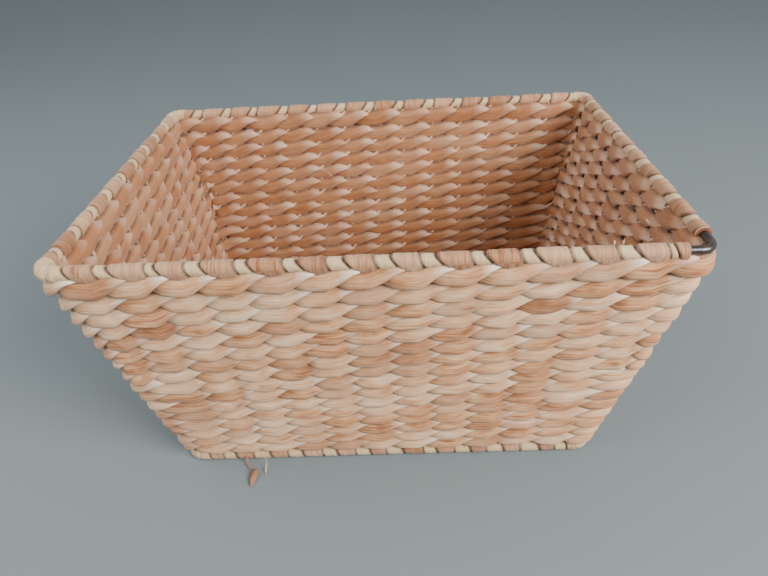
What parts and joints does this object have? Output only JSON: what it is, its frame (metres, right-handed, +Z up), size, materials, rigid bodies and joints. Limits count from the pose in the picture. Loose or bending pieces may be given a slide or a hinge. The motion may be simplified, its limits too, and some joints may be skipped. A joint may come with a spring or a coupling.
{
  "type": "storage basket",
  "caption": "Rectangular storage basket with tapered walls of twined flat leaf strand on a wire frame, with a bound rim and foot.",
  "frame": {"origin": "on the floor, under the middle of the basket", "axes": "+X along the basket's length, +Y from front to back, +Z up"},
  "size_m": [0.36, 0.25, 0.195],
  "materials": {
    "wire_frame": "gloss",
    "twined_strand": "matte",
    "binding_strand": "matte",
    "dry_leaf": "matte"
  },
  "bodies": {
    "root": {"rim_rod": "wire_frame", "foot_rod": "wire_frame", "post_front_left": "wire_frame", "post_front_right": "wire_frame", "post_back_left": "wire_frame", "post_back_right": "wire_frame", "stakes_front": "wire_frame", "stakes_back": "wire_frame", "stakes_left": "wire_frame", "stakes_right": "wire_frame", "base_wires": "wire_frame", "wall_round_01": "twined_strand", "wall_round_02": "twined_strand", "wall_round_03": "twined_strand", "wall_round_04": "twined_strand", "wall_round_05": "twined_strand", "wall_round_06": "twined_strand", "wall_round_07": "twined_strand", "wall_round_08": "twined_strand", "wall_round_09": "twined_strand", "wall_round_10": "twined_strand", "wall_round_11": "twined_strand", "wall_round_12": "twined_strand", "wall_round_13": "twined_strand", "wall_round_14": "twined_strand", "wall_round_15": "twined_strand", "wall_round_16": "twined_strand", "base_row_01": "twined_strand", "base_row_02": "twined_strand", "base_row_03": "twined_strand", "base_row_04": "twined_strand", "base_row_05": "twined_strand", "base_row_06": "twined_strand", "base_row_07": "twined_strand", "base_row_08": "twined_strand", "base_row_09": "twined_strand", "base_row_10": "twined_strand", "base_row_11": "twined_strand", "base_row_12": "twined_strand", "base_row_13": "twined_strand", "base_row_14": "twined_strand", "rim_binding_front": "binding_strand", "rim_binding_back": "binding_strand", "rim_binding_left": "binding_strand", "rim_binding_right": "binding_strand", "rim_corner_wraps": "binding_strand", "foot_binding_front": "binding_strand", "foot_binding_back": "binding_strand", "foot_binding_left": "binding_strand", "foot_binding_right": "binding_strand", "foot_corner_wraps": "binding_strand", "dry_leaf_end": "dry_leaf"}
  },
  "joints": []
}
